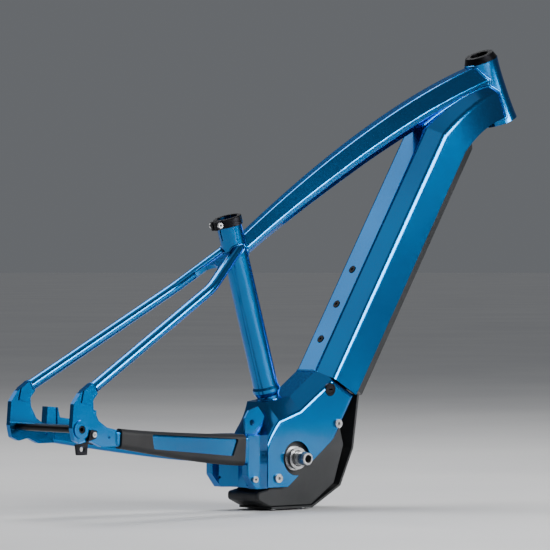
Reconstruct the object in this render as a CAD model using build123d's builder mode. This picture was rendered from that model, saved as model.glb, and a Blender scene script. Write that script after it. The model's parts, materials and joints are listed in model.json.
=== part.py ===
"""Welded aluminium hardtail bicycle frame for a mid-drive motor and an in-tube battery.

Origin: centre of the crank spindle. +X forward, +Y to the rider's left, +Z up. Millimetres.
"""
import os
from math import cos, radians, sin

from build123d import *

os.makedirs("parts", exist_ok=True)

# ---------------------------------------------------------------- driving dimensions
REAR_AXLE_X, REAR_AXLE_Z = -450.0, 58.0
HUB_WIDTH = 148.0

DOWN_ANGLE = 59.0                  # down tube, from the horizontal
DOWN_X, DOWN_Z = 121.0, 239.3      # a point on the down tube's upper face
DOWN_START, DOWN_END = -122.0, 330.0
FACE_HALF, RIDGE_HALF = 22.5, 46.0
RIDGE_DEPTH, EDGE_DEPTH = 23.5, 75.0
RIDGE_ROUND, FACE_ROUND = 12.0, 7.0
DOWN_WALL = 3.0
BAY_END = 362.0

SEAT_ANGLE, SEAT_X = 73.6, 8.0     # seat tube, and where its axis passes the spindle's height
SEAT_RADIUS, SEAT_BORE = 19.5, 15.83
SEAT_START, SEAT_TOP = 118.0, 391.0

HEAD_ANGLE = 67.5
HEAD_X, HEAD_Z = 450.5, 584.5      # middle of the head tube
HEAD_HALF = 53.0
HEAD_TOP_RADIUS, HEAD_LOW_RADIUS = 28.0, 30.0
STEERER_UPPER, STEERER_LOWER = 14.4, 20.0

BRACKET_WALL, BRACKET_ROUND = 4.0, 10.0
MOTOR_HALF = 38.0
SPINDLE_RADIUS, SPINDLE_HALF = 10.6, 74.0
CRANK_SEAT_RADIUS, CRANK_SEAT_AT, SPINDLE_BORE = 10.0, 50.0, 6.5

BATTERY_HALF = 39.5
BATTERY_TOP = 9.0
BATTERY_START, BATTERY_END = -95.0, 338.0
PIVOT_T, PIVOT_U, PIVOT_RADIUS = 352.0, 68.0, 3.0
COVER_START, COVER_END = -112.0, 356.0
COVER_TOP, COVER_LOW = 75.6, 96.0

LOCK_T, LOCK_U = -141.0, 24.0
LOCK_RADIUS, LOCK_BODY_RADIUS = 7.5, 10.5
CHARGE_T, CHARGE_U, CHARGE_RADIUS = -152.0, 50.0, 12.0
FLAP_HINGE, FLAP_PIN_RADIUS = 18.0, 2.0
BOSS_SPOTS = (-64.0, 0.0, 64.0)    # bottle bosses, along the down tube
BOSS_BORE, BOSS_BODY = 2.1, 5.0
RUNNING_GAP = 0.05

AXLE_RADIUS, AXLE_HOLE = 6.0, 6.06
DROPOUT_THICK = 9.0
DROPOUT_IN = HUB_WIDTH / 2
DROPOUT_OUT = DROPOUT_IN + DROPOUT_THICK

# ---------------------------------------------------------------- frames of reference
DOWN_DIR = Vector(cos(radians(DOWN_ANGLE)), 0, sin(radians(DOWN_ANGLE)))
DEPTH_DIR = Vector(sin(radians(DOWN_ANGLE)), 0, -cos(radians(DOWN_ANGLE)))
SEAT_DIR = Vector(-cos(radians(SEAT_ANGLE)), 0, sin(radians(SEAT_ANGLE)))
HEAD_DIR = Vector(-cos(radians(HEAD_ANGLE)), 0, sin(radians(HEAD_ANGLE)))
LATERAL = Vector(0, 1, 0)
SEAT_ORIGIN = Vector(SEAT_X, 0, 0)
SEAT_FRONT = Vector(SEAT_DIR.Z, 0, -SEAT_DIR.X)


def down_point(t, u, y=0.0):
    """Point t along the down tube and u below its upper face."""
    return Vector(DOWN_X, 0, DOWN_Z) + DOWN_DIR * t + DEPTH_DIR * u + LATERAL * y


def down_plane(t, u=0.0):
    """Plane across the down tube: local x to the right of the bike, local y into the depth."""
    return Plane(origin=down_point(t, u), x_dir=(0, -1, 0), z_dir=DOWN_DIR)


def face_plane(t, u=0.0):
    """Plane parallel to the down tube's upper face, facing away from it."""
    return Plane(origin=down_point(t, u), x_dir=(0, -1, 0), z_dir=DEPTH_DIR * -1)


def down_side(y):
    """Side view of the down tube: local x along it, local y out of its upper face."""
    return Plane(origin=down_point(0, 0, y), x_dir=DOWN_DIR, z_dir=(0, -1, 0))


def side_view(y):
    """Side view of the bike seen from its right: local x forward, local y up."""
    return Plane(origin=(0, y, 0), x_dir=(1, 0, 0), z_dir=(0, -1, 0))


def seat_plane(t):
    return Plane(origin=SEAT_ORIGIN + SEAT_DIR * t, x_dir=(0, -1, 0), z_dir=SEAT_DIR)


def head_plane(s):
    return Plane(origin=Vector(HEAD_X, 0, HEAD_Z) + HEAD_DIR * s, x_dir=(0, -1, 0), z_dir=HEAD_DIR)


def save(piece, name):
    piece.part.label = name
    export_step(piece.part, f"parts/{name}.step")


# ---------------------------------------------------------------- outer envelopes
def hat_outline(inset=0.0, depth=EDGE_DEPTH):
    """Down tube section: narrow upper face, sloping shoulders, upright sides."""
    face = FACE_HALF - inset * 0.4
    ridge = RIDGE_HALF - inset
    return [(-face, inset), (face, inset), (ridge, RIDGE_DEPTH + inset * 0.4), (ridge, depth),
            (-ridge, depth), (-ridge, RIDGE_DEPTH + inset * 0.4)]


with BuildPart() as head_envelope:
    with BuildSketch(head_plane(-HEAD_HALF)):
        Circle(HEAD_LOW_RADIUS)
    with BuildSketch(head_plane(-HEAD_HALF + 16)):
        Circle(HEAD_LOW_RADIUS - 1.5)
    with BuildSketch(head_plane(0)):
        Circle(27)
    with BuildSketch(head_plane(HEAD_HALF - 14)):
        Circle(HEAD_TOP_RADIUS - 1)
    with BuildSketch(head_plane(HEAD_HALF)):
        Circle(HEAD_TOP_RADIUS)
    loft()

with BuildPart() as seat_envelope:
    with BuildSketch(seat_plane(SEAT_START)):
        Circle(SEAT_RADIUS)
    extrude(amount=SEAT_TOP - SEAT_START)

# ---------------------------------------------------------------- head tube
CUP_DEPTH = 13.0
CUP_UPPER_RADIUS, CUP_LOWER_RADIUS = 24.5, 26.5
with BuildPart() as head_tube:
    add(head_envelope.part)
    with BuildSketch(head_plane(-HEAD_HALF)):
        Circle(23.5)
    extrude(amount=2 * HEAD_HALF, mode=Mode.SUBTRACT)
    with BuildSketch(head_plane(-HEAD_HALF)):
        Circle(CUP_LOWER_RADIUS)
    extrude(amount=CUP_DEPTH, mode=Mode.SUBTRACT)
    with BuildSketch(head_plane(HEAD_HALF)):
        Circle(CUP_UPPER_RADIUS)
    extrude(amount=-CUP_DEPTH, mode=Mode.SUBTRACT)
save(head_tube, "head_tube")

# ---------------------------------------------------------------- down tube
# Stations of its forward-bending head end: origin, tilt of the section, half widths at the upper
# face, the ridges and the lower edges, and the depths of the ridges and of the lower edges
HEAD_END = [
    (down_point(DOWN_END, 0), DOWN_ANGLE, FACE_HALF, RIDGE_HALF, RIDGE_HALF, RIDGE_DEPTH, EDGE_DEPTH),
    (Vector(342, 0, 558), 47.0, 24.0, 44.0, 43.5, 19.0, 66.0),
    (Vector(444, 0, 598), 22.5, 20.0, 26.0, 26.5, 16.0, 61.0),
]


def tilted(origin, angle):
    tilt = radians(angle)
    return Plane(origin=origin, x_dir=(0, -1, 0), z_dir=(cos(tilt), 0, sin(tilt)))


def bent_outline(face, ridge, edge, shoulder, depth, wall=0.0):
    """Section of the down tube's head end, or of the room inside its wall."""
    return [(-face + wall / 2, wall), (face - wall / 2, wall), (ridge - wall, shoulder + wall / 3),
            (edge - wall, depth - wall), (-edge + wall, depth - wall), (-ridge + wall, shoulder + wall / 3)]


def soften(outline):
    """Round the upper face's corners and the two ridges of a down tube section."""
    ridges = outline.vertices().sort_by(Axis.Y)[2:4]
    fillet(ridges, RIDGE_ROUND)
    fillet(outline.vertices().sort_by(Axis.Y)[:2], FACE_ROUND)


with BuildPart() as down_envelope:
    with BuildSketch(down_plane(DOWN_START)) as outline:
        with BuildLine():
            Polyline(*hat_outline(), close=True)
        make_face()
        soften(outline)
    extrude(amount=DOWN_END - DOWN_START)
    for origin, tilt, *shape in HEAD_END:
        with BuildSketch(tilted(origin, tilt)) as outline:
            with BuildLine():
                Polyline(*bent_outline(*shape), close=True)
            make_face()
            soften(outline)
    loft()

with BuildPart() as down_tube:
    add(down_envelope.part)
    with BuildSketch(down_plane(DOWN_START)):
        with BuildLine():
            Polyline(*hat_outline(DOWN_WALL, EDGE_DEPTH + 30), close=True)
        make_face()
    extrude(amount=DOWN_END - DOWN_START, mode=Mode.SUBTRACT)
    with BuildSketch(down_plane(DOWN_END, 34)):
        Rectangle(2 * (RIDGE_HALF - DOWN_WALL), EDGE_DEPTH, align=(Align.CENTER, Align.MIN))
    extrude(amount=BAY_END - DOWN_END, mode=Mode.SUBTRACT)
    for origin, tilt, *shape in HEAD_END:
        with BuildSketch(tilted(origin, tilt)):
            with BuildLine():
                Polyline(*bent_outline(*shape, wall=DOWN_WALL), close=True)
            make_face()
    loft(mode=Mode.SUBTRACT)
    add(head_envelope.part, mode=Mode.SUBTRACT)
    with Locations([Location(face_plane(t)) for t in BOSS_SPOTS]):
        Hole(radius=BOSS_BODY, depth=DOWN_WALL + 1)
save(down_tube, "down_tube")

# ---------------------------------------------------------------- top tube
# Stations: x, z of the middle, slope, height, half width at the ridge
TOP_WALL = 2.2
TOP_STATIONS = [
    (-89, 320, 36.0, 29.0, 15.6),
    (15, 391, 34.0, 35, 17.5),
    (130, 462, 30.5, 41.5, 20.5),
    (254, 530, 27.0, 45, 23.5),
    (345, 572, 23.0, 47.5, 24.5),
    (441, 608, 18.0, 48, 22.8),
]


def top_outline(height, half, wall=0.0):
    """Top tube section: narrow crown, ridge a little below the middle, lower crease, narrow keel."""
    top, low = height / 2 - wall, -height / 2 + wall
    crown, keel = half * 0.48, half * 0.45
    ridge, crease = half - wall, half * 0.93 - wall
    return [(crown, top), (ridge, -0.04 * height), (crease, -0.24 * height), (keel, low),
            (-keel, low), (-crease, -0.24 * height), (-ridge, -0.04 * height), (-crown, top)]


def top_plane(x, z, slope):
    tilt = radians(slope)
    return Plane(origin=(x, 0, z), x_dir=(0, -1, 0), z_dir=(-cos(tilt), 0, -sin(tilt)))


with BuildPart() as top_tube:
    for x, z, slope, height, half in TOP_STATIONS:
        with BuildSketch(top_plane(x, z, slope)) as station:
            with BuildLine():
                Polyline(*top_outline(height, half), close=True)
            make_face()
            fillet(station.vertices(), 3.0)
    loft()
    for x, z, slope, height, half in TOP_STATIONS:
        with BuildSketch(top_plane(x, z, slope)) as station:
            with BuildLine():
                Polyline(*top_outline(height, half, TOP_WALL), close=True)
            make_face()
            fillet(station.vertices(), 1.5)
    loft(mode=Mode.SUBTRACT)
    add(head_envelope.part, mode=Mode.SUBTRACT)
    add(seat_envelope.part, mode=Mode.SUBTRACT)
    add(down_envelope.part, mode=Mode.SUBTRACT)
save(top_tube, "top_tube")

# ---------------------------------------------------------------- seat tube, clamp and foot
SLOT_WIDTH, SLOT_LENGTH = 2.5, 32.0
with BuildPart() as seat_tube:
    add(seat_envelope.part)
    with BuildSketch(seat_plane(SEAT_START)):
        Circle(SEAT_BORE)
    extrude(amount=SEAT_TOP - SEAT_START, mode=Mode.SUBTRACT)
    with BuildSketch(seat_plane(SEAT_TOP - SLOT_LENGTH)):
        with Locations((0, -SEAT_RADIUS)):
            Rectangle(SLOT_WIDTH, 10)
    extrude(amount=SLOT_LENGTH, mode=Mode.SUBTRACT)
save(seat_tube, "seat_tube")

CLAMP_LOW, CLAMP_HEIGHT, CLAMP_RADIUS = SEAT_TOP - 12.0, 13.5, 22.4
CLAMP_BOLT_RADIUS, CLAMP_BOLT_BACK = 2.5, 25.5
with BuildPart() as seat_clamp:
    with BuildSketch(seat_plane(CLAMP_LOW)):
        Circle(CLAMP_RADIUS)
        with Locations((0, -CLAMP_RADIUS - 1.5)):
            RectangleRounded(17, 13, 3)
    extrude(amount=CLAMP_HEIGHT)
    chamfer(faces().sort_by(Axis(origin=SEAT_ORIGIN, direction=SEAT_DIR))[-1].outer_wire().edges(), 1.2)
    with BuildSketch(seat_plane(CLAMP_LOW)):
        Circle(SEAT_RADIUS)
    extrude(amount=SEAT_TOP - CLAMP_LOW, mode=Mode.SUBTRACT)
    with BuildSketch(seat_plane(CLAMP_LOW)):
        Circle(SEAT_BORE + 0.4)
    extrude(amount=CLAMP_HEIGHT, mode=Mode.SUBTRACT)
    with BuildSketch(seat_plane(CLAMP_LOW)):
        with Locations((0, -CLAMP_RADIUS)):
            Rectangle(SLOT_WIDTH, 18)
    extrude(amount=CLAMP_HEIGHT, mode=Mode.SUBTRACT)
    clamp_hole = Plane(origin=SEAT_ORIGIN + SEAT_DIR * (CLAMP_LOW + 7) - SEAT_FRONT * CLAMP_BOLT_BACK,
                       x_dir=SEAT_DIR, z_dir=(0, -1, 0))
    with BuildSketch(clamp_hole):
        Circle(CLAMP_BOLT_RADIUS + RUNNING_GAP)
    extrude(amount=20, both=True, mode=Mode.SUBTRACT)
save(seat_clamp, "seat_clamp")

with BuildPart() as seat_clamp_bolt:
    with BuildSketch(clamp_hole.offset(-9.5)):
        Circle(CLAMP_BOLT_RADIUS)
    extrude(amount=18)
    with BuildSketch(clamp_hole.offset(8.5)):
        Circle(4.2)
        RegularPolygon(2.3, 6, mode=Mode.SUBTRACT)
    extrude(amount=4.5)
    with BuildSketch(clamp_hole.offset(-11.5)):
        Circle(4.4)
    extrude(amount=3)
save(seat_clamp_bolt, "seat_clamp_bolt")

# ---------------------------------------------------------------- motor bracket
NARROW_SIDE = [(5, 96), (-44, 88), (-58, 38), (-58, -44), (-18, -44), (87.4, 37.8)]
WIDE_SIDE = [(8, 73), (-34, 58), (-58, 33), (-58, -44), (-18, -44), (87.4, 37.8)]


def bracket_outline(rest, shoulder):
    """Closed side outline of the bracket: its first and last corners lie on the down tube's end."""
    upper, lower = down_point(DOWN_START, shoulder), down_point(DOWN_START, EDGE_DEPTH)
    return [(upper.X, upper.Z)] + rest + [(lower.X, lower.Z)]


with BuildPart() as bracket_envelope:
    for y, rest, shoulder in ((-RIDGE_HALF, WIDE_SIDE, RIDGE_DEPTH), (-FACE_HALF, NARROW_SIDE, 0),
                              (FACE_HALF, NARROW_SIDE, 0), (RIDGE_HALF, WIDE_SIDE, RIDGE_DEPTH)):
        with BuildSketch(side_view(y)):
            with BuildLine():
                Polyline(*bracket_outline(rest, shoulder), close=True)
            make_face()
    loft(ruled=True)
    long_edges = edges().filter_by(lambda e: e.length > 15 and min(v.Z for v in e.vertices()) > 30)
    fillet(long_edges.filter_by(lambda e: abs(abs(e.center().Y) - RIDGE_HALF) < 0.5), BRACKET_ROUND)

NARROW_ROOM = [(3, 92), (-39, 82), (-53, 36), (-53, -70), (0, -70), (130, 20)]
WIDE_ROOM = [(10, 68), (-31, 53), (-53, 31), (-53, -70), (0, -70), (130, 20)]


def room_outline(rest, shoulder):
    upper, lower = down_point(DOWN_START - 4, shoulder + 4), down_point(DOWN_START - 4, 100)
    return [(upper.X, upper.Z)] + rest + [(lower.X, lower.Z)]


LOCK_AT = down_point(LOCK_T, LOCK_U)
CHARGE_AT = down_point(CHARGE_T, CHARGE_U)
FLAP_PIN_AT = down_point(CHARGE_T + FLAP_HINGE, CHARGE_U)
MOTOR_BOLTS, MOTOR_BOLT_RADIUS = [(-38, -30), (84, 52)], 4.0
room_half = RIDGE_HALF - BRACKET_WALL
with BuildPart() as motor_bracket:
    add(bracket_envelope.part)
    for y, rest, shoulder in ((-room_half, WIDE_ROOM, RIDGE_DEPTH), (-FACE_HALF, NARROW_ROOM, 0),
                              (FACE_HALF, NARROW_ROOM, 0), (room_half, WIDE_ROOM, RIDGE_DEPTH)):
        with BuildSketch(side_view(y)):
            with BuildLine():
                Polyline(*room_outline(rest, shoulder), close=True)
            make_face()
    loft(ruled=True, mode=Mode.SUBTRACT)
    with BuildSketch(side_view(-20)):
        with Locations((LOCK_AT.X, LOCK_AT.Z)):
            Circle(LOCK_BODY_RADIUS)
    extrude(amount=40, mode=Mode.SUBTRACT)
    with BuildSketch(side_view(RIDGE_HALF + 1)):
        with Locations((CHARGE_AT.X, CHARGE_AT.Z)):
            Circle(CHARGE_RADIUS)
    extrude(amount=20, mode=Mode.SUBTRACT)
    with BuildSketch(side_view(RIDGE_HALF + 1)):
        with Locations((FLAP_PIN_AT.X, FLAP_PIN_AT.Z)):
            Circle(FLAP_PIN_RADIUS)
    extrude(amount=6, mode=Mode.SUBTRACT)
    with BuildSketch(side_view(0)):
        with Locations(*MOTOR_BOLTS):
            Circle(MOTOR_BOLT_RADIUS + RUNNING_GAP)
        Circle(27)
    extrude(amount=60, both=True, mode=Mode.SUBTRACT)
save(motor_bracket, "motor_bracket")

seat_section = Plane(origin=SEAT_ORIGIN, x_dir=SEAT_FRONT, z_dir=(0, -1, 0))
with BuildPart() as seat_tube_collar:
    with BuildSketch(seat_section):
        with BuildLine():
            Polyline((13, SEAT_START), (19.6, SEAT_START), (21.6, 114), (21.6, 109), (17.5, 102),
                     (17, 60), (13, 60), close=True)
        make_face()
    revolve(axis=Axis(origin=SEAT_ORIGIN, direction=SEAT_DIR))
    add(bracket_envelope.part, mode=Mode.SUBTRACT)
save(seat_tube_collar, "seat_tube_collar")

# ---------------------------------------------------------------- chain-stay yoke
YOKE_REAR, YOKE_FRONT = -104.0, -58.0
YOKE_LOW, YOKE_HIGH = -45.0, 38.0
YOKE_BOLT_X, YOKE_BOLT_Z, YOKE_BOLT_RADIUS = -90.0, -30.0, 2.5
with BuildPart() as chain_stay_yoke:
    with BuildSketch(Plane.XY.offset(YOKE_LOW)):
        with BuildLine():
            Polyline((YOKE_FRONT, -45), (YOKE_FRONT, 45), (-80, 52), (YOKE_REAR, 52), (YOKE_REAR, 37.5),
                     (-90, 36), (-76, 24), (-72, 10), (-72, -10), (-76, -24), (-90, -36),
                     (YOKE_REAR, -37.5), (YOKE_REAR, -52), (-80, -52), close=True)
        make_face()
    extrude(amount=YOKE_HIGH - YOKE_LOW)
    fillet(edges().filter_by(Axis.Z).filter_by(lambda e: e.center().X < -80), 3)
    with BuildSketch(side_view(0)):
        with Locations((YOKE_BOLT_X, YOKE_BOLT_Z)):
            Circle(YOKE_BOLT_RADIUS)
    extrude(amount=60, both=True, mode=Mode.SUBTRACT)
    with BuildSketch(side_view(0)):
        with BuildLine():
            Polyline((YOKE_REAR - 1, -46), (-86, -46), (YOKE_REAR - 1, -22), close=True)
        make_face()
    extrude(amount=60, both=True, mode=Mode.SUBTRACT)
save(chain_stay_yoke, "chain_stay_yoke")

with BuildPart() as yoke_bolts:
    for side in (-1, 1):
        shank_end = Plane(origin=(YOKE_BOLT_X, side * 40, YOKE_BOLT_Z), x_dir=(1, 0, 0),
                          z_dir=(0, side, 0))
        with BuildSketch(shank_end):
            Circle(YOKE_BOLT_RADIUS)
        extrude(amount=12)
        with BuildSketch(shank_end.offset(12)):
            Circle(5)
            RegularPolygon(2.3, 6, mode=Mode.SUBTRACT)
        extrude(amount=3.4)
save(yoke_bolts, "yoke_bolts")

with BuildPart() as hose_tab:
    with BuildSketch(side_view(-22)):
        with BuildLine():
            Polyline((YOKE_FRONT, YOKE_HIGH), (-88, YOKE_HIGH), (-88, 64), (-80, 76), (-62, 82),
                     (-49, 66), close=True)
        make_face()
        with Locations((-74, 57)):
            Circle(5, mode=Mode.SUBTRACT)
    extrude(amount=4)
    add(bracket_envelope.part, mode=Mode.SUBTRACT)
save(hose_tab, "hose_tab")

# ---------------------------------------------------------------- dropouts
DROPOUT_OUTLINE = [(-429.5, 126.8), (-452, 112), (-464, 96), (-467, 60), (-463, 42), (-450, 36),
                   (-432, 40), (-412, 31), (-384, 31), (-384, 56), (-402, 60), (-417, 70), (-427, 88),
                   (-428, 103), (-420.5, 111.2)]
EYELET, EYELET_BORE = (-398, 45), 2.1
SEAL_FACE_RADIUS = 14.0


def dropout(side):
    inner = Plane(origin=(0, side * DROPOUT_IN, 0), x_dir=(1, 0, 0), z_dir=(0, -1, 0))
    with BuildPart() as plate:
        with BuildSketch(inner) as outline:
            with BuildLine():
                Polyline(*DROPOUT_OUTLINE, close=True)
            make_face()
            fillet(outline.vertices().filter_by(lambda v: v.X < -400 and v.Z < 120), 3)
        extrude(amount=-side * DROPOUT_THICK)
        with BuildSketch(inner.offset(side * 2)):
            with BuildLine():
                Polyline((-429.5, 126.8), (-446, 116), (-450, 98), (-432, 94), (-428, 103),
                         (-420.5, 111.2), close=True)
            make_face()
        extrude(amount=-side * (DROPOUT_THICK + 4))
        with BuildSketch(inner.offset(-side * DROPOUT_THICK)):
            with Locations((REAR_AXLE_X, REAR_AXLE_Z)):
                Circle(SEAL_FACE_RADIUS)
        extrude(amount=-side * 2)
        with BuildSketch(inner.offset(side * 10)):
            with Locations((REAR_AXLE_X, REAR_AXLE_Z)):
                Circle(AXLE_HOLE)
            with Locations(EYELET):
                Circle(EYELET_BORE)
        extrude(amount=-side * 40, mode=Mode.SUBTRACT)
    return plate


dropout_right = dropout(-1)
dropout_left = dropout(1)
save(dropout_right, "dropout_right")
save(dropout_left, "dropout_left")

# ---------------------------------------------------------------- chain stays and guard
CHAIN_STAY_WALL, GUARD_THICK = 2.0, 2.6
# Stations: x, distance from the middle plane, z, height, width
STAY_STATIONS = [
    (YOKE_REAR, 45.2, 16, 44, 15.0),
    (-170, 49.0, 20, 41, 15.0),
    (-250, 59.0, 27.5, 35, 15.5),
    (-322, 70.5, 35.5, 29, 15.0),
    (-384, 78.5, 43.5, 25, 12.0),
]


def stay_envelope(side, grow):
    """Chain stay on one side, grown outwards, or inwards for its hollow."""
    with BuildPart() as stay:
        for x, y, z, height, width in STAY_STATIONS:
            with BuildSketch(Plane(origin=(x, side * y, z), x_dir=(0, -1, 0), z_dir=(-1, 0, 0))):
                RectangleRounded(width + 2 * grow, height + 2 * grow, 5.4 + grow)
        loft()
    return stay


for side, name in ((-1, "chain_stay_right"), (1, "chain_stay_left")):
    with BuildPart() as chain_stay:
        add(stay_envelope(side, 0).part)
        add(stay_envelope(side, -CHAIN_STAY_WALL).part, mode=Mode.SUBTRACT)
    save(chain_stay, name)

WINDOW_ANGLE = radians(7.013)
window_view = Plane(origin=(0, -30.6, 0), x_dir=(cos(WINDOW_ANGLE), sin(WINDOW_ANGLE), 0),
                    z_dir=(sin(WINDOW_ANGLE), -cos(WINDOW_ANGLE), 0))
with BuildPart() as chain_stay_guard:
    add(stay_envelope(-1, GUARD_THICK).part)
    add(stay_envelope(-1, 0).part, mode=Mode.SUBTRACT)
    with BuildSketch(side_view(-40)):
        with BuildLine():
            Polyline((-380, -30), (-374, 80), (-395, 80), (-395, -30), close=True)
        make_face()
    extrude(amount=60, mode=Mode.SUBTRACT)
    with BuildSketch(side_view(-40)):
        with BuildLine():
            Polyline((YOKE_REAR, -40), (-113, -40), (-108, 70), (YOKE_REAR, 70), close=True)
        make_face()
    extrude(amount=60, mode=Mode.SUBTRACT)
    with BuildSketch(window_view) as window:
        with BuildLine():
            Polyline((-316, 47), (-312, 24.5), (-138, 8), (-127, 34), close=True)
        make_face()
        fillet(window.vertices(), 3)
    extrude(amount=30, mode=Mode.SUBTRACT)
save(chain_stay_guard, "chain_stay_guard")

# ---------------------------------------------------------------- seat stays and bridge
SEAT_STAY_RADIUS, SEAT_STAY_WALL, SEAT_STAY_BEND = 8.6, 1.8, 110.0
SEAT_STAY_ROUTE = [(-425, 78.5, 119), (-172, 46, 266), (-86, 11, 332)]


def seat_stay_tube(side, bore=0.0):
    """Seat stay bent inwards on its way from the dropout to the seat tube."""
    low, bend, high = [Vector(x, side * y, z) for x, y, z in SEAT_STAY_ROUTE]
    with BuildPart() as tube:
        with BuildLine() as route:
            FilletPolyline(low, bend, high, radius=SEAT_STAY_BEND)
        with BuildSketch(Plane(origin=low, z_dir=bend - low)):
            Circle(SEAT_STAY_RADIUS)
            if bore > 0:
                Circle(bore, mode=Mode.SUBTRACT)
        sweep(path=route.line)
    return tube


for side, foot, name in ((-1, dropout_right, "seat_stay_right"), (1, dropout_left, "seat_stay_left")):
    with BuildPart() as seat_stay:
        add(seat_stay_tube(side, SEAT_STAY_RADIUS - SEAT_STAY_WALL).part)
        add(seat_envelope.part, mode=Mode.SUBTRACT)
        add(top_tube.part, mode=Mode.SUBTRACT)
        add(foot.part, mode=Mode.SUBTRACT)
    save(seat_stay, name)

with BuildPart() as seat_stay_bridge:
    with BuildSketch(Plane(origin=(-104, 0, 318), x_dir=(0, -1, 0), z_dir=(-0.6, 0, 0.8))):
        with BuildLine():
            Polyline((24, -52), (35, -52), (14, 12), (-14, 12), (-35, -52), (-24, -52))
            ThreePointArc((-24, -52), (0, -30), (24, -52))
        make_face()
    extrude(amount=3.5, both=True)
    add(seat_stay_tube(-1).part, mode=Mode.SUBTRACT)
    add(seat_stay_tube(1).part, mode=Mode.SUBTRACT)
    add(seat_envelope.part, mode=Mode.SUBTRACT)
save(seat_stay_bridge, "seat_stay_bridge")

# ---------------------------------------------------------------- derailleur hanger and brake mount
DERAILLEUR_AT, HANGER_THICK = (-452, 29), 5.0
HANGER_BOLT_AT, HANGER_BOLT_RADIUS = (-430, 50), 2.0
hanger_face = Plane(origin=(0, -DROPOUT_OUT, 0), x_dir=(1, 0, 0), z_dir=(0, -1, 0))
with BuildPart() as derailleur_hanger:
    with BuildSketch(hanger_face) as blade:
        with BuildLine():
            Polyline((-463, 36), (-461, 20), (-443, 20), (-441, 40), (-426, 44), (-424, 56), (-436, 58),
                     (-440, 41.5), (-450, 39), close=True)
        make_face()
        fillet(blade.vertices(), 1.5)
        with Locations(DERAILLEUR_AT):
            Circle(9)
    extrude(amount=HANGER_THICK)
    with BuildSketch(hanger_face.offset(8)):
        with Locations(DERAILLEUR_AT):
            Circle(4.6)
        with Locations(HANGER_BOLT_AT):
            Circle(HANGER_BOLT_RADIUS + RUNNING_GAP)
    extrude(amount=-20, mode=Mode.SUBTRACT)
    with BuildSketch(hanger_face.offset(-4)):
        with Locations((REAR_AXLE_X, REAR_AXLE_Z)):
            Circle(SEAL_FACE_RADIUS)
    extrude(amount=12, mode=Mode.SUBTRACT)
save(derailleur_hanger, "derailleur_hanger")

with BuildPart() as hanger_bolt:
    with BuildSketch(hanger_face.offset(HANGER_THICK)):
        with Locations(HANGER_BOLT_AT):
            Circle(4)
            RegularPolygon(1.8, 6, mode=Mode.SUBTRACT)
    extrude(amount=2)
    with BuildSketch(hanger_face):
        with Locations(HANGER_BOLT_AT):
            Circle(HANGER_BOLT_RADIUS)
    extrude(amount=HANGER_THICK)
save(hanger_bolt, "hanger_bolt")

BRAKE_SPACING, BRAKE_TILT = 74.0, 5.0
BRAKE_REAR = Vector(-386, 80, 86)
BRAKE_ALONG = Vector(cos(radians(BRAKE_TILT)), 0, -sin(radians(BRAKE_TILT)))
BRAKE_UP = Vector(sin(radians(BRAKE_TILT)), 0, cos(radians(BRAKE_TILT)))
with BuildPart() as brake_mount:
    web_side = Plane(origin=BRAKE_REAR + LATERAL * 8, x_dir=BRAKE_ALONG, z_dir=(0, -1, 0))
    with BuildSketch(web_side) as web:
        with BuildLine():
            Polyline((-9, 0), (9, 0), (14, -15), (59, -17), (65, 0), (83, 0), (86, -42), (-4, -42),
                     (-9, -26), close=True)
        make_face()
        fillet(web.vertices().filter_by(lambda v: v.Z < 76 and v.Z > 60), 4)
    extrude(amount=16)
    add(stay_envelope(1, 0).part, mode=Mode.SUBTRACT)
    add(dropout_left.part, mode=Mode.SUBTRACT)
    with BuildSketch(side_view(DROPOUT_IN + 0.2)):
        with Locations((-390, 65)):
            Rectangle(24, 80)
    extrude(amount=10, mode=Mode.SUBTRACT)
    for along in (0, BRAKE_SPACING):
        post_top = Plane(origin=BRAKE_REAR + BRAKE_ALONG * along, x_dir=(0, -1, 0), z_dir=BRAKE_UP)
        with BuildSketch(post_top):
            Circle(2.6)
        extrude(amount=-14, mode=Mode.SUBTRACT)
save(brake_mount, "brake_mount")

# ---------------------------------------------------------------- rear thru axle
AXLE_LENGTH = 2 * DROPOUT_OUT + 3
axle_view = Plane(origin=(REAR_AXLE_X, -DROPOUT_OUT - 1, REAR_AXLE_Z), x_dir=(1, 0, 0), z_dir=(0, 1, 0))
with BuildPart() as thru_axle:
    with BuildSketch(axle_view):
        Circle(AXLE_RADIUS)
        Circle(3.2, mode=Mode.SUBTRACT)
    extrude(amount=AXLE_LENGTH)
    with BuildSketch(axle_view.offset(AXLE_LENGTH)):
        Circle(9)
        RegularPolygon(3.5, 6, mode=Mode.SUBTRACT)
    extrude(amount=7)
    chamfer(faces().sort_by(Axis.Y)[-1].outer_wire().edges(), 1.5)
save(thru_axle, "thru_axle")

# ---------------------------------------------------------------- motor and crank spindle
MOTOR_OUTLINE = [(-48, 34), (-31, 60), (6, 66), (48, 90), (92, 64), (104, 18), (84, -42), (36, -75),
                 (-48, -75), (-72, -64), (-72, -52), (-50, -47.5)]
MOTOR_COVER = 8.0
BEARING_RADIUS, BEARING_WIDTH = 18.0, 9.0
SLEEVE_RADIUS, SLEEVE_BORE = 17.0, 12.5


def motor_slice(start, thickness):
    """Slice of the motor's outline, with the four bolts' blind holes where it reaches them."""
    with BuildPart() as layer:
        with BuildSketch(side_view(start)) as outline:
            with BuildLine():
                Polyline(*MOTOR_OUTLINE, close=True)
            make_face()
            fillet(outline.vertices(), 6)
        extrude(amount=thickness)
        for side in (-1, 1):
            with BuildSketch(side_view(side * 60)):
                with Locations(*MOTOR_BOLTS):
                    Circle(MOTOR_BOLT_RADIUS)
            extrude(amount=side * 36, mode=Mode.SUBTRACT)
    return layer


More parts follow.
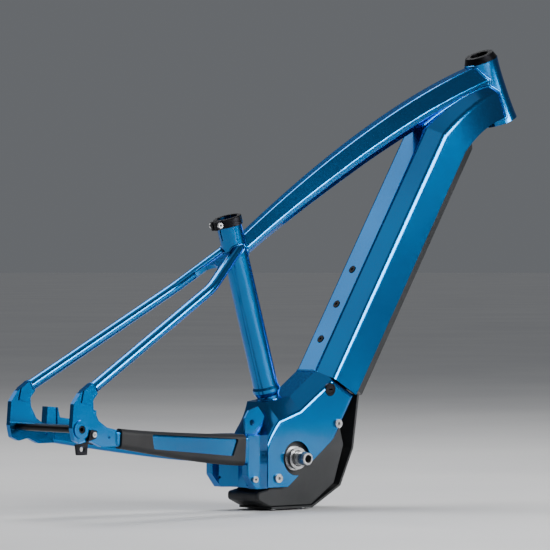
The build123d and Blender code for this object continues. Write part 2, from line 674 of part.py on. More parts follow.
inner_half = MOTOR_HALF - MOTOR_COVER
with BuildPart() as motor_housing:
    add(motor_slice(inner_half, 2 * inner_half).part)
    with BuildSketch(side_view(inner_half)):
        Circle(BEARING_RADIUS)
    extrude(amount=2 * inner_half, mode=Mode.SUBTRACT)
save(motor_housing, "motor_housing")

for side, start, hole, name in ((1, MOTOR_HALF, SPINDLE_RADIUS + 1.4, "motor_cover_left"),
                                (-1, -inner_half, SLEEVE_RADIUS + RUNNING_GAP, "motor_cover_right")):
    with BuildPart() as motor_cover:
        add(motor_slice(start, MOTOR_COVER).part)
        chamfer(faces().sort_by(Axis.Y)[-1 if side > 0 else 0].outer_wire().edges(), 2)
        with BuildSketch(side_view(start)):
            Circle(hole)
        extrude(amount=MOTOR_COVER, mode=Mode.SUBTRACT)
    save(motor_cover, name)

with BuildPart() as spindle_bearings:
    for y in (28, -14):
        with BuildSketch(side_view(y)):
            Circle(BEARING_RADIUS)
            Circle(SPINDLE_RADIUS + RUNNING_GAP, mode=Mode.SUBTRACT)
        extrude(amount=BEARING_WIDTH)
save(spindle_bearings, "spindle_bearings")

with BuildPart() as crank_spindle:
    with BuildSketch(side_view(SPINDLE_HALF)):
        Circle(CRANK_SEAT_RADIUS)
    extrude(amount=2 * SPINDLE_HALF)
    chamfer(edges().filter_by(GeomType.CIRCLE), 1)
    with BuildSketch(side_view(CRANK_SEAT_AT)):
        Circle(SPINDLE_RADIUS)
    extrude(amount=2 * CRANK_SEAT_AT)
    with BuildSketch(side_view(SPINDLE_HALF)):
        Circle(SPINDLE_BORE)
    extrude(amount=2 * SPINDLE_HALF, mode=Mode.SUBTRACT)
save(crank_spindle, "crank_spindle")

with BuildPart() as chainring_sleeve:
    with BuildSketch(side_view(-inner_half + 1)):
        Circle(SLEEVE_RADIUS)
        Circle(SLEEVE_BORE, mode=Mode.SUBTRACT)
    extrude(amount=21)
    with BuildSketch(side_view(-MOTOR_HALF - 0.6)):
        Circle(SLEEVE_RADIUS + 2)
        Circle(SLEEVE_BORE, mode=Mode.SUBTRACT)
    extrude(amount=2)
save(chainring_sleeve, "chainring_sleeve")

with BuildPart() as motor_bolts:
    for side in (-1, 1):
        for x, z in MOTOR_BOLTS:
            head_view = Plane(origin=(x, side * RIDGE_HALF, z), x_dir=(1, 0, 0), z_dir=(0, side, 0))
            with BuildSketch(head_view):
                Circle(7)
                RegularPolygon(3, 6, mode=Mode.SUBTRACT)
            extrude(amount=3.5)
            with BuildSketch(head_view):
                Circle(MOTOR_BOLT_RADIUS)
            extrude(amount=-20)
save(motor_bolts, "motor_bolts")

# ---------------------------------------------------------------- skid plate
SKID_SCREWS = [(26, 28), (26, -28), (-34, 28), (-34, -28)]
SKID_LOW = -78.5
with BuildPart() as skid_plate:
    with BuildSketch(side_view(0)) as section:
        with BuildLine():
            Polyline((134, 97), (121.5, 12), (95, -46), (37, SKID_LOW), (-46, SKID_LOW), (-46, -75.2),
                     (36, -75.2), (92, -44), (118, 12.5), (130.5, 97.5), close=True)
        make_face()
    extrude(amount=40, both=True)
    fillet(edges().filter_by(Axis.Y).filter_by(lambda e: e.center().Z < 90 and e.center().Z > -77), 1)
    with BuildSketch(Plane.XY.offset(-90)):
        with Locations(*SKID_SCREWS):
            Circle(2.6)
    extrude(amount=20, mode=Mode.SUBTRACT)
save(skid_plate, "skid_plate")

with BuildPart() as skid_screws:
    with BuildSketch(Plane.XY.offset(SKID_LOW)):
        with Locations(*SKID_SCREWS):
            Circle(4.5)
    extrude(amount=-2)
    with BuildSketch(Plane.XY.offset(SKID_LOW)):
        with Locations(*SKID_SCREWS):
            Circle(2.5)
    extrude(amount=3.5)
save(skid_screws, "skid_screws")

# ---------------------------------------------------------------- battery
LUG_AT, LUG_RADIUS, LUG_WIDTH = 24.0, 7.0, 8.0
BAY_HALF = RIDGE_HALF - DOWN_WALL
with BuildPart() as battery_pack:
    with BuildSketch(down_plane(BATTERY_START)) as section:
        with BuildLine():
            Polyline((-22, BATTERY_TOP), (22, BATTERY_TOP), (BATTERY_HALF, 27), (BATTERY_HALF, COVER_TOP),
                     (-BATTERY_HALF, COVER_TOP), (-BATTERY_HALF, 27), close=True)
        make_face()
        fillet(section.vertices(), 4)
    extrude(amount=BATTERY_END - BATTERY_START)
    for y in (-LUG_AT, LUG_AT):
        with BuildSketch(down_side(y + LUG_WIDTH / 2)):
            with BuildLine():
                Polyline((BATTERY_END, -PIVOT_U + 12), (PIVOT_T, -PIVOT_U + LUG_RADIUS),
                         (PIVOT_T, -PIVOT_U - LUG_RADIUS), (BATTERY_END, -COVER_TOP), close=True)
            make_face()
            with Locations((PIVOT_T, -PIVOT_U)):
                Circle(LUG_RADIUS)
                Circle(PIVOT_RADIUS + RUNNING_GAP, mode=Mode.SUBTRACT)
        extrude(amount=LUG_WIDTH)
save(battery_pack, "battery_pack")

with BuildPart() as battery_hinge_pin:
    with BuildSketch(down_side(BAY_HALF)):
        with Locations((PIVOT_T, -PIVOT_U)):
            Circle(PIVOT_RADIUS)
    extrude(amount=2 * BAY_HALF)
save(battery_hinge_pin, "battery_hinge_pin")

COVER_SECTION = [(-42, COVER_TOP), (42, COVER_TOP), (37, 92), (22, COVER_LOW), (-22, COVER_LOW),
                 (-37, 92)]
with BuildPart() as battery_cover:
    with BuildSketch(down_plane(COVER_START)) as outline:
        with BuildLine():
            Polyline(*COVER_SECTION, close=True)
        make_face()
        fillet(outline.vertices().filter_by(lambda v: abs(v.Y) < 40), 6)
    extrude(amount=COVER_END - COVER_START)
    with BuildSketch(down_side(0)):
        with BuildLine():
            Polyline((COVER_END, -COVER_TOP), (COVER_END - 5, -86), (COVER_END - 14, -97),
                     (COVER_END + 5, -97), (COVER_END + 5, -COVER_TOP), close=True)
        make_face()
    extrude(amount=60, both=True, mode=Mode.SUBTRACT)
    with BuildSketch(down_plane(COVER_START + 3)):
        with BuildLine():
            Polyline((-38.5, COVER_TOP), (38.5, COVER_TOP), (34, 89.5), (21, 93), (-21, 93), (-34, 89.5),
                     close=True)
        make_face()
    extrude(amount=COVER_END - COVER_START - 22, mode=Mode.SUBTRACT)
save(battery_cover, "battery_cover")

PLUG_U = 42.0
with BuildPart() as battery_plug:
    with BuildSketch(down_plane(BATTERY_END + 4, PLUG_U)):
        RectangleRounded(30, 14, 4)
    extrude(amount=16)
    with BuildSketch(down_plane(BATTERY_END + 8, PLUG_U)):
        Rectangle(2 * BAY_HALF, 4)
    extrude(amount=12)
save(battery_plug, "battery_plug")

# ---------------------------------------------------------------- battery lock
lock_view = Plane(origin=(LOCK_AT.X, 0, LOCK_AT.Z), x_dir=(1, 0, 0), z_dir=(0, -1, 0))
with BuildPart() as battery_lock_body:
    with BuildSketch(lock_view.offset(24)):
        Circle(LOCK_BODY_RADIUS)
    extrude(amount=23)
    chamfer(faces().sort_by(Axis.Y)[0].outer_wire().edges(), 0.8)
    with BuildSketch(lock_view.offset(26)):
        Circle(LOCK_RADIUS + RUNNING_GAP)
    extrude(amount=24, mode=Mode.SUBTRACT)
save(battery_lock_body, "battery_lock_body")

with BuildPart() as lock_cylinder:
    with BuildSketch(lock_view.offset(26.1)):
        Circle(LOCK_RADIUS)
    extrude(amount=20.5)
    chamfer(faces().sort_by(Axis.Y)[0].outer_wire().edges(), 0.6)
    with BuildSketch(lock_view.offset(46.6)):
        SlotOverall(8.5, 1.8)
    extrude(amount=-5, mode=Mode.SUBTRACT)
save(lock_cylinder, "lock_cylinder")

# ---------------------------------------------------------------- charging socket and flap
charge_view = Plane(origin=(CHARGE_AT.X, RIDGE_HALF, CHARGE_AT.Z), x_dir=DOWN_DIR, z_dir=(0, 1, 0))
with BuildPart() as charge_socket:
    with BuildSketch(charge_view.offset(-14)):
        Circle(CHARGE_RADIUS)
    extrude(amount=13)
    with BuildSketch(charge_view.offset(-8)):
        Circle(9)
    extrude(amount=10, mode=Mode.SUBTRACT)
    with BuildSketch(charge_view.offset(-8)):
        with PolarLocations(4.5, 3):
            Circle(1.3)
    extrude(amount=5)
save(charge_socket, "charge_socket")

with BuildPart() as charge_flap:
    with BuildSketch(charge_view.offset(0.3)):
        Circle(CHARGE_RADIUS + 2)
        SlotCenterPoint((FLAP_HINGE / 2, 0), (FLAP_HINGE, 0), 11)
    extrude(amount=2.6)
    chamfer(faces().sort_by(Axis.Y)[-1].outer_wire().edges(), 0.7)
    with BuildSketch(charge_view):
        with Locations((FLAP_HINGE, 0)):
            Circle(FLAP_PIN_RADIUS + RUNNING_GAP)
    extrude(amount=4, mode=Mode.SUBTRACT)
save(charge_flap, "charge_flap")

with BuildPart() as flap_pin:
    with BuildSketch(charge_view.offset(-6)):
        with Locations((FLAP_HINGE, 0)):
            Circle(FLAP_PIN_RADIUS)
    extrude(amount=9)
    with BuildSketch(charge_view.offset(3)):
        with Locations((FLAP_HINGE, 0)):
            Circle(3.6)
            RegularPolygon(1.5, 6, mode=Mode.SUBTRACT)
    extrude(amount=1.3)
save(flap_pin, "flap_pin")

# ---------------------------------------------------------------- bottle bosses
with BuildPart() as bottle_bosses:
    for t in BOSS_SPOTS:
        with BuildSketch(face_plane(t)):
            Circle(BOSS_BODY + 1.5)
            Circle(BOSS_BORE, mode=Mode.SUBTRACT)
        extrude(amount=1.0)
        with BuildSketch(face_plane(t)):
            Circle(BOSS_BODY)
            Circle(BOSS_BORE, mode=Mode.SUBTRACT)
        extrude(amount=-7.0)
save(bottle_bosses, "bottle_bosses")

# ---------------------------------------------------------------- headset
RACE_GAP, RACE_HEIGHT = 0.06, 9.0
RACE_UPPER_RADIUS, RACE_LOWER_RADIUS = 20.4, 23.4
for name, seat, outer, middle in (
        ("headset_upper_cup", HEAD_HALF - CUP_DEPTH, CUP_UPPER_RADIUS, RACE_UPPER_RADIUS),
        ("headset_lower_cup", -HEAD_HALF, CUP_LOWER_RADIUS, RACE_LOWER_RADIUS)):
    with BuildPart() as cup:
        with BuildSketch(head_plane(seat)):
            Circle(outer)
            Circle(middle + RACE_GAP, mode=Mode.SUBTRACT)
        extrude(amount=CUP_DEPTH)
    save(cup, name)
for name, seat, bore, middle in (
        ("headset_upper_race", HEAD_HALF - RACE_HEIGHT, STEERER_UPPER, RACE_UPPER_RADIUS),
        ("headset_lower_race", -HEAD_HALF, STEERER_LOWER, RACE_LOWER_RADIUS)):
    with BuildPart() as race:
        with BuildSketch(head_plane(seat)):
            Circle(middle)
            Circle(bore, mode=Mode.SUBTRACT)
        extrude(amount=RACE_HEIGHT)
    save(race, name)
TOP_COVER_BORE = STEERER_UPPER + 0.6
with BuildPart() as headset_cover:
    with BuildSketch(head_plane(HEAD_HALF + 0.3)):
        Circle(27.4)
    extrude(amount=10, taper=22)
    with BuildSketch(head_plane(HEAD_HALF)):
        Circle(TOP_COVER_BORE)
    extrude(amount=12, mode=Mode.SUBTRACT)
    with BuildSketch(head_plane(HEAD_HALF)):
        Circle(19)
        Circle(TOP_COVER_BORE, mode=Mode.SUBTRACT)
    extrude(amount=0.4)
save(headset_cover, "headset_cover")

# ---------------------------------------------------------------- small parts
port_view = Plane(origin=down_point(296, 48, RIDGE_HALF), x_dir=DOWN_DIR, z_dir=(0, 1, 0))
with BuildPart() as cable_port:
    with BuildSketch(port_view):
        SlotOverall(34, 17)
    extrude(amount=2.4)
    chamfer(faces().sort_by(Axis.Y)[-1].outer_wire().edges(), 1.2)
    with BuildSketch(port_view):
        with Locations((8, 0), (-8, 0)):
            Circle(2.8)
    extrude(amount=5, mode=Mode.SUBTRACT)
save(cable_port, "cable_port")

with BuildPart() as speed_sensor:
    with BuildSketch(Plane(origin=(-330, 68, 36), x_dir=(1, 0, 0), z_dir=(0, -1, 0))):
        RectangleRounded(34, 16, 4)
    extrude(amount=14)
    add(stay_envelope(1, 0).part, mode=Mode.SUBTRACT)
save(speed_sensor, "speed_sensor")
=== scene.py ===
"""Looks for the bicycle frame: materials, weld beads, spindle splines, floor, lights and camera."""

import json
import math

import bmesh
import bpy
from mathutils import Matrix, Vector
from mathutils.bvhtree import BVHTree


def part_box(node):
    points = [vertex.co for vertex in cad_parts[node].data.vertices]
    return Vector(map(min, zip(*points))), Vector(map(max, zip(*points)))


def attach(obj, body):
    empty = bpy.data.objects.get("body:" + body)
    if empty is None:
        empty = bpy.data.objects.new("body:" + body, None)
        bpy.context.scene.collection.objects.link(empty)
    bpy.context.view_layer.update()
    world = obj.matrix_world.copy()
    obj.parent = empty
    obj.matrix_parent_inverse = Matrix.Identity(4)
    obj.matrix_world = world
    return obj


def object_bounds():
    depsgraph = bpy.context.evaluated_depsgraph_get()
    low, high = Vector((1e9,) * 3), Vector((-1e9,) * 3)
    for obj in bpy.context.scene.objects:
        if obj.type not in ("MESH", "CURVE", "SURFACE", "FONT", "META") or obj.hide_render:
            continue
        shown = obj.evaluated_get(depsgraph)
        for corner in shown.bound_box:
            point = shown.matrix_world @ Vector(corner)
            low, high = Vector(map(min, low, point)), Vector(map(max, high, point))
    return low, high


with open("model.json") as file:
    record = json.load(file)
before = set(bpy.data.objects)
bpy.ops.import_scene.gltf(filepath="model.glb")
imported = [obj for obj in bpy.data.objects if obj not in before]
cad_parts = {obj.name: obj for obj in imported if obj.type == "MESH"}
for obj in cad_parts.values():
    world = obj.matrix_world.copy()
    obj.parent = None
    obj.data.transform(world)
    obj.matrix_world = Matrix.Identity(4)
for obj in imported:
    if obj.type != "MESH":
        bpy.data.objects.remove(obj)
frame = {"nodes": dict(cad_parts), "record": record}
NODES = frame["nodes"]
SLOT_OF = {row["node"]: row["material_slot"] for row in frame["record"]["subparts"]}
cad_low, cad_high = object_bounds()


# ---------------------------------------------------------------- material building blocks
class Shader:
    """A principled material with short ways to add procedural texture nodes."""

    def __init__(self, name):
        self.material = bpy.data.materials.new(name)
        self.material.use_nodes = True
        self.tree = self.material.node_tree
        self.out = self.tree.nodes["Principled BSDF"]
        self.place = self.add("ShaderNodeTexCoord").outputs["Object"]

    def add(self, kind, **values):
        node = self.tree.nodes.new(kind)
        for key, value in values.items():
            if isinstance(value, bpy.types.NodeSocket):
                self.tree.links.new(value, node.inputs[key])
            elif hasattr(node, key):
                setattr(node, key, value)
            else:
                node.inputs[key].default_value = value
        return node

    def link(self, source, socket):
        self.tree.links.new(source, self.out.inputs[socket])

    def constants(self, **values):
        for key, value in values.items():
            self.out.inputs[key.replace("_", " ")].default_value = value

    def stretched(self, scale):
        node = self.add("ShaderNodeMapping", Vector=self.place)
        node.inputs["Scale"].default_value = scale
        return node.outputs["Vector"]

    def noise(self, scale, detail=4.0, rough=0.55, place=None):
        node = self.add("ShaderNodeTexNoise", Vector=place or self.place, Scale=scale, Detail=detail)
        node.inputs["Roughness"].default_value = rough
        return node.outputs["Fac"]

    def cells(self, scale, feature="F1"):
        node = self.add("ShaderNodeTexVoronoi", Vector=self.place, Scale=scale)
        node.feature = feature
        return node

    def ramp(self, factor, stops):
        node = self.add("ShaderNodeValToRGB")
        self.tree.links.new(factor, node.inputs["Fac"])
        elements = node.color_ramp.elements
        while len(elements) < len(stops):
            elements.new(0.5)
        for element, (at, colour) in zip(elements, stops):
            element.position = at
            element.color = (*colour, 1.0)
        return node.outputs["Color"]

    def span(self, factor, low, high, start=0.3, end=0.7):
        node = self.add("ShaderNodeMapRange")
        self.tree.links.new(factor, node.inputs["Value"])
        for key, value in (("From Min", start), ("From Max", end), ("To Min", low), ("To Max", high)):
            node.inputs[key].default_value = value
        return node.outputs["Result"]

    def mixed(self, factor, first, second, blend="MIX"):
        node = self.add("ShaderNodeMix", data_type="RGBA", blend_type=blend)
        for key, value in ((0, factor), (6, first), (7, second)):
            if isinstance(value, bpy.types.NodeSocket):
                self.tree.links.new(value, node.inputs[key])
            elif key == 0:
                node.inputs[key].default_value = value
            else:
                node.inputs[key].default_value = (*value, 1.0)
        return node.outputs[2]

    def bumps(self, *layers):
        """Each layer is (height socket, strength, distance in metres)."""
        normal = None
        for height, strength, distance in layers:
            node = self.add("ShaderNodeBump", Height=height, Strength=strength, Distance=distance)
            if normal:
                self.tree.links.new(normal, node.inputs["Normal"])
            normal = node.outputs["Normal"]
        self.link(normal, "Normal")


def candy_paint():
    """Blue metallic paint with flakes under a clear coat with a little orange peel."""
    s = Shader("paint_blue")
    tone = s.ramp(s.noise(7.0, 3.0), [(0.30, (0.0, 0.130, 0.37)), (0.72, (0.0, 0.170, 0.46))])
    flakes = s.cells(2600.0)
    sparkle = s.ramp(flakes.outputs["Color"], [(0.0, (0.92, 0.92, 0.92)), (1.0, (1.0, 1.0, 1.0))])
    s.link(s.mixed(0.5, tone, sparkle, "MULTIPLY"), "Base Color")
    s.link(s.span(s.noise(320.0, 2.0), 0.20, 0.24), "Roughness")
    s.bumps((s.noise(300.0, 2.0), 0.02, 0.0004))
    s.constants(Metallic=1.0, Specular_Tint=(0.02, 0.50, 0.95, 1.0))
    s.constants(Coat_Weight=0.6, Coat_Roughness=0.05, Coat_IOR=1.45)
    return s.material


def moulded(name, dark, light, rough, grain, coat=0.0):
    """Moulded plastic or rubber: faint mottling, fine grain and rubbed smoother patches."""
    s = Shader(name)
    s.link(s.ramp(s.noise(14.0, 5.0), [(0.32, dark), (0.68, light)]), "Base Color")
    s.link(s.span(s.noise(38.0, 6.0), rough - 0.07, rough + 0.07), "Roughness")
    s.bumps((s.noise(grain, 3.0), 0.12, 0.0003), (s.noise(grain * 0.12, 2.0), 0.05, 0.0008))
    s.constants(Specular_IOR_Level=0.3, Coat_Weight=coat, Coat_Roughness=0.3)
    return s.material


def machined(name, dark, light, rough, stretch):
    """Turned or brushed metal: fine lines along one direction and small stains."""
    s = Shader(name)
    lines = s.noise(60.0, 6.0, 0.7, s.stretched(stretch))
    stain = s.span(s.noise(24.0, 5.0), 0.0, 0.6)
    s.link(s.mixed(stain, s.ramp(lines, [(0.3, dark), (0.7, light)]), dark), "Base Color")
    s.link(s.span(lines, rough - 0.06, rough + 0.10), "Roughness")
    s.bumps((lines, 0.10, 0.0002))
    s.constants(Metallic=1.0)
    return s.material


def cast_case():
    """Painted magnesium motor case: grainy cast skin with a mottled tone."""
    s = Shader("motor_cast")
    grain = s.cells(700.0, "SMOOTH_F1").outputs["Distance"]
    skin = [(0.30, (0.011, 0.012, 0.014)), (0.70, (0.030, 0.031, 0.034))]
    s.link(s.ramp(s.noise(9.0, 6.0), skin), "Base Color")
    s.link(s.span(s.noise(45.0, 4.0), 0.42, 0.60), "Roughness")
    s.bumps((grain, 0.16, 0.0004), (s.noise(90.0, 3.0), 0.08, 0.0006))
    s.constants(Metallic=0.35)
    return s.material


FINISHES = {
    "frame_paint": candy_paint(),
    "black_anodised": machined("anodised_black", (0.010, 0.010, 0.012), (0.028, 0.028, 0.032),
                               rough=0.34, stretch=(1, 1, 9)),
    "bare_steel": machined("steel_bare", (0.42, 0.42, 0.43), (0.66, 0.66, 0.65),
                           rough=0.27, stretch=(1, 9, 1)),
    "bearing_steel": machined("steel_bearing", (0.33, 0.34, 0.36), (0.58, 0.59, 0.61),
                              rough=0.20, stretch=(1, 1, 12)),
    "motor_plastic": moulded("plastic_motor", (0.010, 0.011, 0.012), (0.022, 0.023, 0.025),
                             rough=0.48, grain=1500.0),
    "battery_plastic": moulded("plastic_battery", (0.016, 0.017, 0.019), (0.032, 0.033, 0.036),
                               rough=0.52, grain=1300.0),
    "cover_plastic": moulded("plastic_cover", (0.007, 0.008, 0.009), (0.017, 0.018, 0.020),
                             rough=0.40, grain=1700.0, coat=0.15),
    "motor_case": cast_case(),
    "guard_rubber": moulded("rubber_guard", (0.006, 0.006, 0.007), (0.013, 0.013, 0.014),
                            rough=0.58, grain=900.0),
    "seal_rubber": moulded("rubber_seal", (0.008, 0.008, 0.008), (0.018, 0.018, 0.018),
                           rough=0.68, grain=1100.0),
}
for node, piece in NODES.items():
    for holder in piece.material_slots:
        holder.material = FINISHES[SLOT_OF[node]]


# ---------------------------------------------------------------- weld beads
SEAM_REACH = 0.0006        # how near to its mate's surface an edge of a seam lies
SHARP_EDGE = 0.42          # radians between the faces at such an edge
SAME_POINT = 2e-5
BEAD_STEP, RIPPLE, BEAD_SIDES = 0.0011, 0.0030, 10
BEAD_SWELL = 0.09
SHORTEST_BEAD = 0.02


def surface_of(names):
    """One search tree over the surfaces of several CAD nodes."""
    points, faces = [], []
    for name in names:
        mesh = NODES[name].data
        start = len(points)
        points += [v.co.copy() for v in mesh.vertices]
        faces += [[start + i for i in p.vertices] for p in mesh.polygons]
    return BVHTree.FromPolygons(points, faces)


def seam_runs(name, mates):
    """Ordered runs of the sharp edges of one CAD node that lie on its mates' surfaces."""
    tree = surface_of(mates)
    mesh = bmesh.new()
    mesh.from_mesh(NODES[name].data)
    bmesh.ops.remove_doubles(mesh, verts=mesh.verts, dist=SAME_POINT)
    links = {}
    for edge in mesh.edges:
        if len(edge.link_faces) != 2 or edge.calc_face_angle() < SHARP_EDGE:
            continue
        a, b = edge.verts
        tests = (a.co, b.co, (a.co + b.co) / 2)
        if all(tree.find_nearest(p, SEAM_REACH)[0] is not None for p in tests):
            links.setdefault(a.index, {})[b.index] = True
            links.setdefault(b.index, {})[a.index] = True
    mesh.verts.ensure_lookup_table()
    spots = {i: mesh.verts[i].co.copy() for i in links}
    mesh.free()
    runs = []
    while links:
        first = next((i for i in sorted(links) if len(links[i]) == 1), min(links))
        run, here, heading = [first], first, None
        while links.get(here):
            choices = sorted(links[here])
            if heading is not None:
                choices.sort(key=lambda i: -heading.dot((spots[i] - spots[here]).normalized()))
            there = choices[0]
            del links[here][there]
            del links[there][here]
            heading = (spots[there] - spots[here]).normalized()
            run.append(there)
            here = there
        for i in set(run):
            if not links.get(i):
                links.pop(i, None)
        runs.append([spots[i] for i in run])
    return runs


def evenly(points, step):
    """Points at one spacing along a run, smoothed a little, and whether the run is closed."""
    closed = (points[0] - points[-1]).length < 1e-4
    lengths = [0.0]
    for a, b in zip(points, points[1:]):
        lengths.append(lengths[-1] + (b - a).length)
    count = max(6, round(lengths[-1] / step))
    even, k = [], 0
    for i in range(count + (0 if closed else 1)):
        at = lengths[-1] * i / count
        while k < len(lengths) - 2 and lengths[k + 1] < at:
            k += 1
        share = (at - lengths[k]) / max(lengths[k + 1] - lengths[k], 1e-9)
        even.append(points[k].lerp(points[k + 1], share))
    for _ in range(2):
        n = len(even)
        even = [even[i] if not closed and i in (0, n - 1)
                else (even[i - 1] + even[i] * 2 + even[(i + 1) % n]) / 4 for i in range(n)]
    return even, closed


def bead(name, tube, mates, radius):
    """A rippled weld bead along where a tube meets its mates."""
    mesh = bmesh.new()
    for run in seam_runs(tube, mates):
        if sum((b - a).length for a, b in zip(run, run[1:])) < SHORTEST_BEAD:
            continue
        spine, closed = evenly(run, BEAD_STEP)
        n = len(spine)
        centre = sum(spine, Vector()) / n
        rings = []
        for i, p in enumerate(spine):
            before = spine[i - 1] if closed or i else p
            after = spine[(i + 1) % n] if closed or i < n - 1 else p
            along = (after - before).normalized()
            out = (p - centre) - along * (p - centre).dot(along)
            out = out.normalized() if out.length > 1e-6 else along.orthogonal().normalized()
            side = along.cross(out)
            swell = 1 + BEAD_SWELL * abs(math.sin(math.pi * i * BEAD_STEP / RIPPLE))
            taper = 1.0 if closed else min(1.0, 0.25 + 0.25 * min(i, n - 1 - i))
            r = radius * swell * taper
            ring = [mesh.verts.new(p + (out * math.cos(a) + side * math.sin(a)) * r)
                    for a in (2 * math.pi * k / BEAD_SIDES for k in range(BEAD_SIDES))]
            rings.append(ring)
        pairs = list(zip(rings, rings[1:])) + ([(rings[-1], rings[0])] if closed else [])
        for one, two in pairs:
            for k in range(BEAD_SIDES):
                j = (k + 1) % BEAD_SIDES
                mesh.faces.new((one[k], one[j], two[j], two[k]))
        if not closed:
            mesh.faces.new(rings[0][::-1])
            mesh.faces.new(rings[-1])
    finished(mesh, name, "frame", "frame_paint")


def finished(mesh, name, body, slot):
    """Turn a bmesh into a piece that rides on a body and takes a slot's finish."""
    bmesh.ops.recalc_face_normals(mesh, faces=mesh.faces)
    data = bpy.data.meshes.new(name)
    mesh.to_mesh(data)
    mesh.free()
    for face in data.polygons:
        face.use_smooth = True
    data.materials.append(FINISHES[slot])
    piece = bpy.data.objects.new(name, data)
    bpy.context.scene.collection.objects.link(piece)
    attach(piece, body)


# Name of the bead, the tube whose edge it follows, what that tube is welded to, and its radius
BEADS = [
    ("weld_top_tube_head", "top_tube", ["head_tube"], 0.0028),
    ("weld_down_tube_head", "down_tube", ["head_tube"], 0.0028),
    ("weld_top_tube_down_tube", "top_tube", ["down_tube"], 0.0022),
    ("weld_top_tube_seat_tube", "top_tube", ["seat_tube"], 0.0024),
    ("weld_seat_stay_right", "seat_stay_right", ["seat_tube", "top_tube"], 0.0018),
    ("weld_seat_stay_left", "seat_stay_left", ["seat_tube", "top_tube"], 0.0018),
    ("weld_stay_bridge", "seat_stay_bridge", ["seat_stay_right", "seat_stay_left", "seat_tube"],
     0.0013),
    ("weld_stay_dropout_right", "seat_stay_right", ["dropout_right"], 0.0016),
    ("weld_stay_dropout_left", "seat_stay_left", ["dropout_left"], 0.0016),
    ("weld_chain_stay_dropout_right", "chain_stay_right", ["dropout_right"], 0.0016),
    ("weld_chain_stay_dropout_left", "chain_stay_left", ["dropout_left"], 0.0016),
    ("weld_chain_stay_yoke_right", "chain_stay_right", ["chain_stay_yoke"], 0.0020),
    ("weld_chain_stay_yoke_left", "chain_stay_left", ["chain_stay_yoke"], 0.0020),
    ("weld_collar_bracket", "seat_tube_collar", ["motor_bracket"], 0.0022),
    ("weld_down_tube_bracket", "down_tube", ["motor_bracket"], 0.0020),
    ("weld_brake_mount", "brake_mount", ["chain_stay_left", "dropout_left"], 0.0014),
]
for bead_name, tube, mates, radius in BEADS:
    bead(bead_name, tube, mates, radius)


# ---------------------------------------------------------------- splines on the spindle ends
RIBS, RIB_ROOT, RIB_CREST = 8, 0.0099, 0.01055
RIB_FOOT = RIB_ROOT - 0.0006       # sunk into the spindle
# Distance from the spindle's end, and share of the rib's full height
RIB_STATIONS = ((0.0015, 0.0), (0.003, 1.0), (0.0195, 1.0), (0.0215, 0.0))


def splines(name, outward):
    """Rounded ribs around one end of the crank spindle."""
    low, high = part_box("crank_spindle")
    end = high.y if outward > 0 else low.y
    mesh = bmesh.new()
    for k in range(RIBS):
        middle = 2 * math.pi * k / RIBS
        sections = []
        for back, grow in RIB_STATIONS:
            top = RIB_ROOT + (RIB_CREST - RIB_ROOT) * grow
            flank = (RIB_ROOT + top) / 2
            profile = ((-0.20, RIB_FOOT), (-0.14, flank), (-0.07, top), (0.07, top), (0.14, flank),
                       (0.20, RIB_FOOT))
            sections.append([mesh.verts.new((r * math.cos(middle + a), end - outward * back,
                                             r * math.sin(middle + a))) for a, r in profile])
        for one, two in zip(sections, sections[1:]):
            for a in range(len(one)):
                b = (a + 1) % len(one)
                mesh.faces.new((one[a], one[b], two[b], two[a]))
        mesh.faces.new(sections[0])
        mesh.faces.new(sections[-1][::-1])
    finished(mesh, name, "spindle", "bare_steel")


splines("spindle_splines_left", 1)
splines("spindle_splines_right", -1)


# ---------------------------------------------------------------- floor
FLOOR_REACH, FLOOR_GAP = 60.0, 0.0006


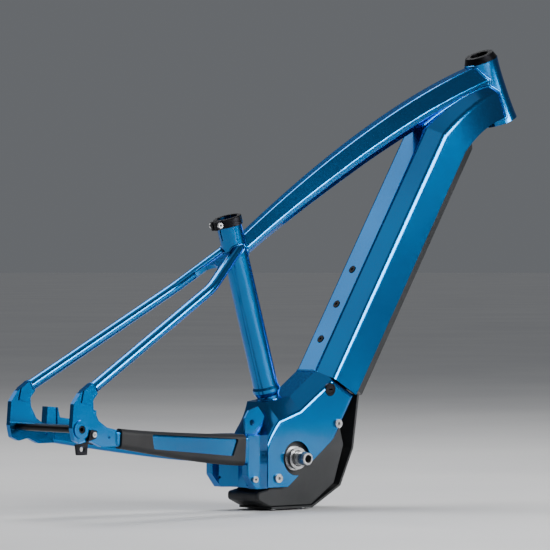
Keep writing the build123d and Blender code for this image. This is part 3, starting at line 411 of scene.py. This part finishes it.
def studio_floor():
    """A wide pale floor, so that it fills the ground from any side."""
    s = Shader("studio_floor")
    tones = [(0.3, (0.60, 0.60, 0.61)), (0.7, (0.66, 0.66, 0.66))]
    s.link(s.ramp(s.noise(1.3, 3.0), tones), "Base Color")
    s.link(s.span(s.noise(5.0, 3.0), 0.62, 0.74), "Roughness")
    s.bumps((s.noise(160.0, 3.0), 0.03, 0.0005))
    mesh = bmesh.new()
    mesh.faces.new([mesh.verts.new((x * FLOOR_REACH, y * FLOOR_REACH, cad_low.z - FLOOR_GAP))
                    for x, y in ((-1, -1), (1, -1), (1, 1), (-1, 1))])
    data = bpy.data.meshes.new("studio_floor")
    mesh.to_mesh(data)
    mesh.free()
    data.materials.append(s.material)
    floor = bpy.data.objects.new("studio_floor", data)
    bpy.context.scene.collection.objects.link(floor)


studio_floor()

# ---------------------------------------------------------------- light
world = bpy.data.worlds.new("studio_world")
bpy.context.scene.world = world
world.use_nodes = True
background = world.node_tree.nodes["Background"]
background.inputs["Color"].default_value = (0.80, 0.84, 0.90, 1.0)
background.inputs["Strength"].default_value = 0.17
middle = (cad_low + cad_high) / 2


def softbox(name, offset, width, height, power):
    """An area light at an offset from the middle of the frame, turned towards it."""
    data = bpy.data.lights.new(name, "AREA")
    data.shape = "RECTANGLE"
    data.size, data.size_y = width, height
    data.energy = power
    lamp = bpy.data.objects.new(name, data)
    bpy.context.scene.collection.objects.link(lamp)
    lamp.location = middle + Vector(offset)
    lamp.rotation_euler = (middle - lamp.location).to_track_quat("-Z", "Y").to_euler()


softbox("key_right", (0.95, -2.6, 0.78), 2.1, 0.85, 130)
softbox("overhead", (0.2, 1.4, 3.0), 2.4, 2.0, 110)
softbox("fill_left", (-1.0, 2.4, 1.75), 1.3, 1.3, 8)
softbox("fill_camera", (-1.75, -1.95, 2.3), 1.5, 1.2, 5)

# An even wash from straight above keeps the far floor as pale as the background
wash_data = bpy.data.lights.new("wash", "SUN")
wash_data.energy = 0.3
wash_data.angle = math.radians(60)
wash = bpy.data.objects.new("wash", wash_data)
bpy.context.scene.collection.objects.link(wash)

# ---------------------------------------------------------------- camera
camera_data = bpy.data.cameras.new("camera")
camera_data.lens = 290.0
camera_data.sensor_width = 36.0
camera_data.clip_start, camera_data.clip_end = 0.1, 60.0
camera = bpy.data.objects.new("camera", camera_data)
bpy.context.scene.collection.objects.link(camera)
camera.location = (-4.4454, -5.3471, 0.338)   # behind and to the right of the frame
aim = Vector((-0.006, 0.0, 0.286))
camera.rotation_mode = "QUATERNION"
camera.rotation_quaternion = (aim - camera.location).to_track_quat("-Z", "Y")
bpy.context.scene.camera = camera
